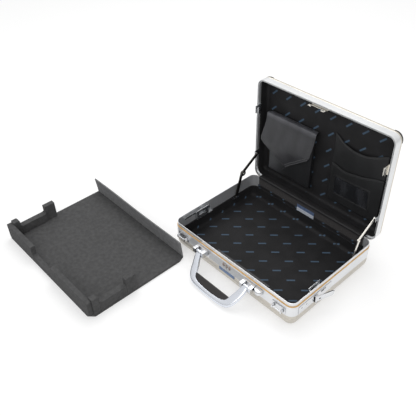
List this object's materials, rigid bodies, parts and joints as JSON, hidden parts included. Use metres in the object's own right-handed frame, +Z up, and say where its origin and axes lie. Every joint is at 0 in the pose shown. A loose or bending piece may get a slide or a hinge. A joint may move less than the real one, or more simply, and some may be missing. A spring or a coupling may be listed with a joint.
{
  "type": "laptop hard case",
  "caption": "Hard-shell laptop case with hinged lid, folding lid stays, side latches, combination lock, swing handle, lid pockets and a lift-out foam tray.",
  "frame": {"origin": "on the floor under the middle of the case, in the plane of its flat underside", "axes": "+Z up, +Y from the handle to the hinge, +X to the right along the front; the lid rests open and the tray stands beside the case"},
  "size_m": [0.8516, 0.7402, 0.4221],
  "materials": {
    "shell_champagne": "satin anodised, pale champagne",
    "frame_silver": "satin silver extrusion",
    "seal_amber": "matte amber rubber",
    "lining_black": "black satin-weave fabric with short blue-grey dashes",
    "strip_grey": "hook-and-loop pile",
    "label_pale": "bare two-tone plate",
    "foot_rubber": "matte black rubber",
    "hinge_steel": "brushed",
    "lock_grey": "fine textured grey",
    "lock_case_black": "matte black",
    "badge_blue": "gloss blue, bare",
    "bright_metal": "polished",
    "dial_brown": "matte brown",
    "handle_metal": "polished cast aluminium",
    "grip_black": "soft black grip",
    "latch_steel": "brushed",
    "stay_steel": "brushed",
    "pouch_leather": "black grained leather cloth",
    "pocket_leather": "black leather cloth",
    "window_film": "clear film over black",
    "guard_rubber": "matte black rubber",
    "tray_foam": "charcoal cross-linked foam"
  },
  "bodies": {
    "base": {"base_shell": "shell_champagne", "base_frame": "frame_silver", "gasket": "seal_amber", "base_lining": "lining_black", "rear_strip": "strip_grey", "blank_label": "label_pale", "base_feet": "foot_rubber", "hinge_leaf_base": "hinge_steel", "hinge_pin": "hinge_steel", "base_rivets": "hinge_steel", "lock_plate": "lock_grey", "lock_case": "lock_case_black", "dial_axle": "hinge_steel", "blank_badge": "badge_blue", "handle_bracket_left": "bright_metal", "handle_bracket_right": "bright_metal", "handle_pins": "hinge_steel", "strap_lug_left": "bright_metal", "strap_lug_right": "bright_metal", "latch_plate_left": "bright_metal", "latch_plate_right": "bright_metal", "latch_guide_left": "latch_steel", "latch_guide_right": "latch_steel", "stay_anchors_base": "stay_steel"},
    "lid": {"lid_shell": "shell_champagne", "lid_frame": "frame_silver", "lid_lining": "lining_black", "lid_corners": "guard_rubber", "hinge_leaf_lid": "hinge_steel", "lid_rivets": "hinge_steel", "lid_hasp": "bright_metal", "lid_strike_left": "latch_steel", "lid_strike_right": "latch_steel", "stay_anchors_lid": "stay_steel", "organizer_pouch": "pouch_leather", "pouch_flap": "pouch_leather", "upper_pocket": "pocket_leather", "lower_pocket": "pocket_leather", "id_window": "window_film"},
    "dial_a": {"dial_1": "dial_brown"},
    "dial_b": {"dial_2": "dial_brown"},
    "dial_c": {"dial_3": "dial_brown"},
    "left_lock": {"lock_bolt_left": "latch_steel"},
    "right_lock": {"lock_bolt_right": "latch_steel", "release_button": "bright_metal"},
    "handle": {"handle_frame": "handle_metal", "handle_grip": "grip_black"},
    "left_lever": {"latch_lever_left": "bright_metal"},
    "right_lever": {"latch_lever_right": "bright_metal"},
    "left_bolt": {"latch_bolt_left": "latch_steel"},
    "right_bolt": {"latch_bolt_right": "latch_steel"},
    "left_lower_link": {"stay_lower_left": "stay_steel"},
    "right_lower_link": {"stay_lower_right": "stay_steel"},
    "left_upper_link": {"stay_upper_left": "stay_steel"},
    "right_upper_link": {"stay_upper_right": "stay_steel"},
    "tray": {"tray_base": "tray_foam", "tray_flap": "tray_foam", "tray_front_wall": "tray_foam", "tray_rails": "tray_foam", "tray_pillars": "tray_foam"}
  },
  "joints": [
    {"name": "lid_hinge", "type": "hinge", "parent": "base", "child": "lid", "pos_m": [0, 0.1726, 0.0794], "axis": [1, 0, 0], "range_deg": [0, 90]},
    {"name": "left_lower_link_turn", "type": "hinge", "parent": "base", "child": "left_lower_link", "pos_m": [-0.21975, 0.08, 0.042], "axis": [1, 0, 0], "range_deg": [-1, 71]},
    {"name": "left_upper_link_turn", "type": "hinge", "parent": "lid", "child": "left_upper_link", "pos_m": [-0.21775, 0.17, 0.167], "axis": [1, 0, 0], "range_deg": [-138, 1]},
    {"name": "right_lower_link_turn", "type": "hinge", "parent": "base", "child": "right_lower_link", "pos_m": [0.21975, 0.08, 0.042], "axis": [1, 0, 0], "range_deg": [-1, 71]},
    {"name": "right_upper_link_turn", "type": "hinge", "parent": "lid", "child": "right_upper_link", "pos_m": [0.21775, 0.17, 0.167], "axis": [1, 0, 0], "range_deg": [-138, 1]},
    {"name": "handle_swing", "type": "hinge", "parent": "base", "child": "handle", "pos_m": [-0.0065, -0.188, 0.0635], "axis": [-1, 0, 0], "range_deg": [-44, 130]},
    {"name": "dial_a_turn", "type": "hinge", "parent": "base", "child": "dial_a", "pos_m": [-0.018, -0.164, 0.058], "axis": [1, 0, 0], "continuous": true},
    {"name": "dial_b_turn", "type": "hinge", "parent": "base", "child": "dial_b", "pos_m": [-0.0065, -0.164, 0.058], "axis": [1, 0, 0], "continuous": true},
    {"name": "dial_c_turn", "type": "hinge", "parent": "base", "child": "dial_c", "pos_m": [0.005, -0.164, 0.058], "axis": [1, 0, 0], "continuous": true},
    {"name": "right_lock_slide", "type": "slide", "parent": "base", "child": "right_lock", "axis": [1, 0, 0], "range_m": [0, 0.006]},
    {"name": "left_lock_slide", "type": "slide", "parent": "base", "child": "left_lock", "axis": [-1, 0, 0], "range_m": [0, 0.006]},
    {"name": "left_lever_swing", "type": "hinge", "parent": "base", "child": "left_lever", "pos_m": [-0.2334, -0.08, 0.051], "axis": [0, 0, -1], "range_deg": [-4, 18]},
    {"name": "left_bolt_slide", "type": "slide", "parent": "base", "child": "left_bolt", "axis": [0, -1, 0], "range_m": [-0.0024, 0.0101]},
    {"name": "right_lever_swing", "type": "hinge", "parent": "base", "child": "right_lever", "pos_m": [0.2334, -0.08, 0.051], "axis": [0, 0, 1], "range_deg": [-4, 18]},
    {"name": "right_bolt_slide", "type": "slide", "parent": "base", "child": "right_bolt", "axis": [0, -1, 0], "range_m": [-0.0024, 0.0101]},
    {"name": "tray_lift", "type": "slide", "parent": "base", "child": "tray", "axis": [0, 0, 1], "range_m": [0, 0.12]}
  ],
  "couplings": [
    {"joint": "left_lower_link_turn", "follows": "lid_hinge", "ratio": 0.76832},
    {"joint": "left_upper_link_turn", "follows": "lid_hinge", "ratio": -1.5127},
    {"joint": "left_bolt_slide", "follows": "left_lever_swing", "m_per_rad": 0.031831},
    {"joint": "right_lower_link_turn", "follows": "lid_hinge", "ratio": 0.76832},
    {"joint": "right_upper_link_turn", "follows": "lid_hinge", "ratio": -1.5127},
    {"joint": "right_bolt_slide", "follows": "right_lever_swing", "m_per_rad": 0.031831},
    {"joint": "left_lock_slide", "follows": "right_lock_slide", "ratio": 1}
  ]
}
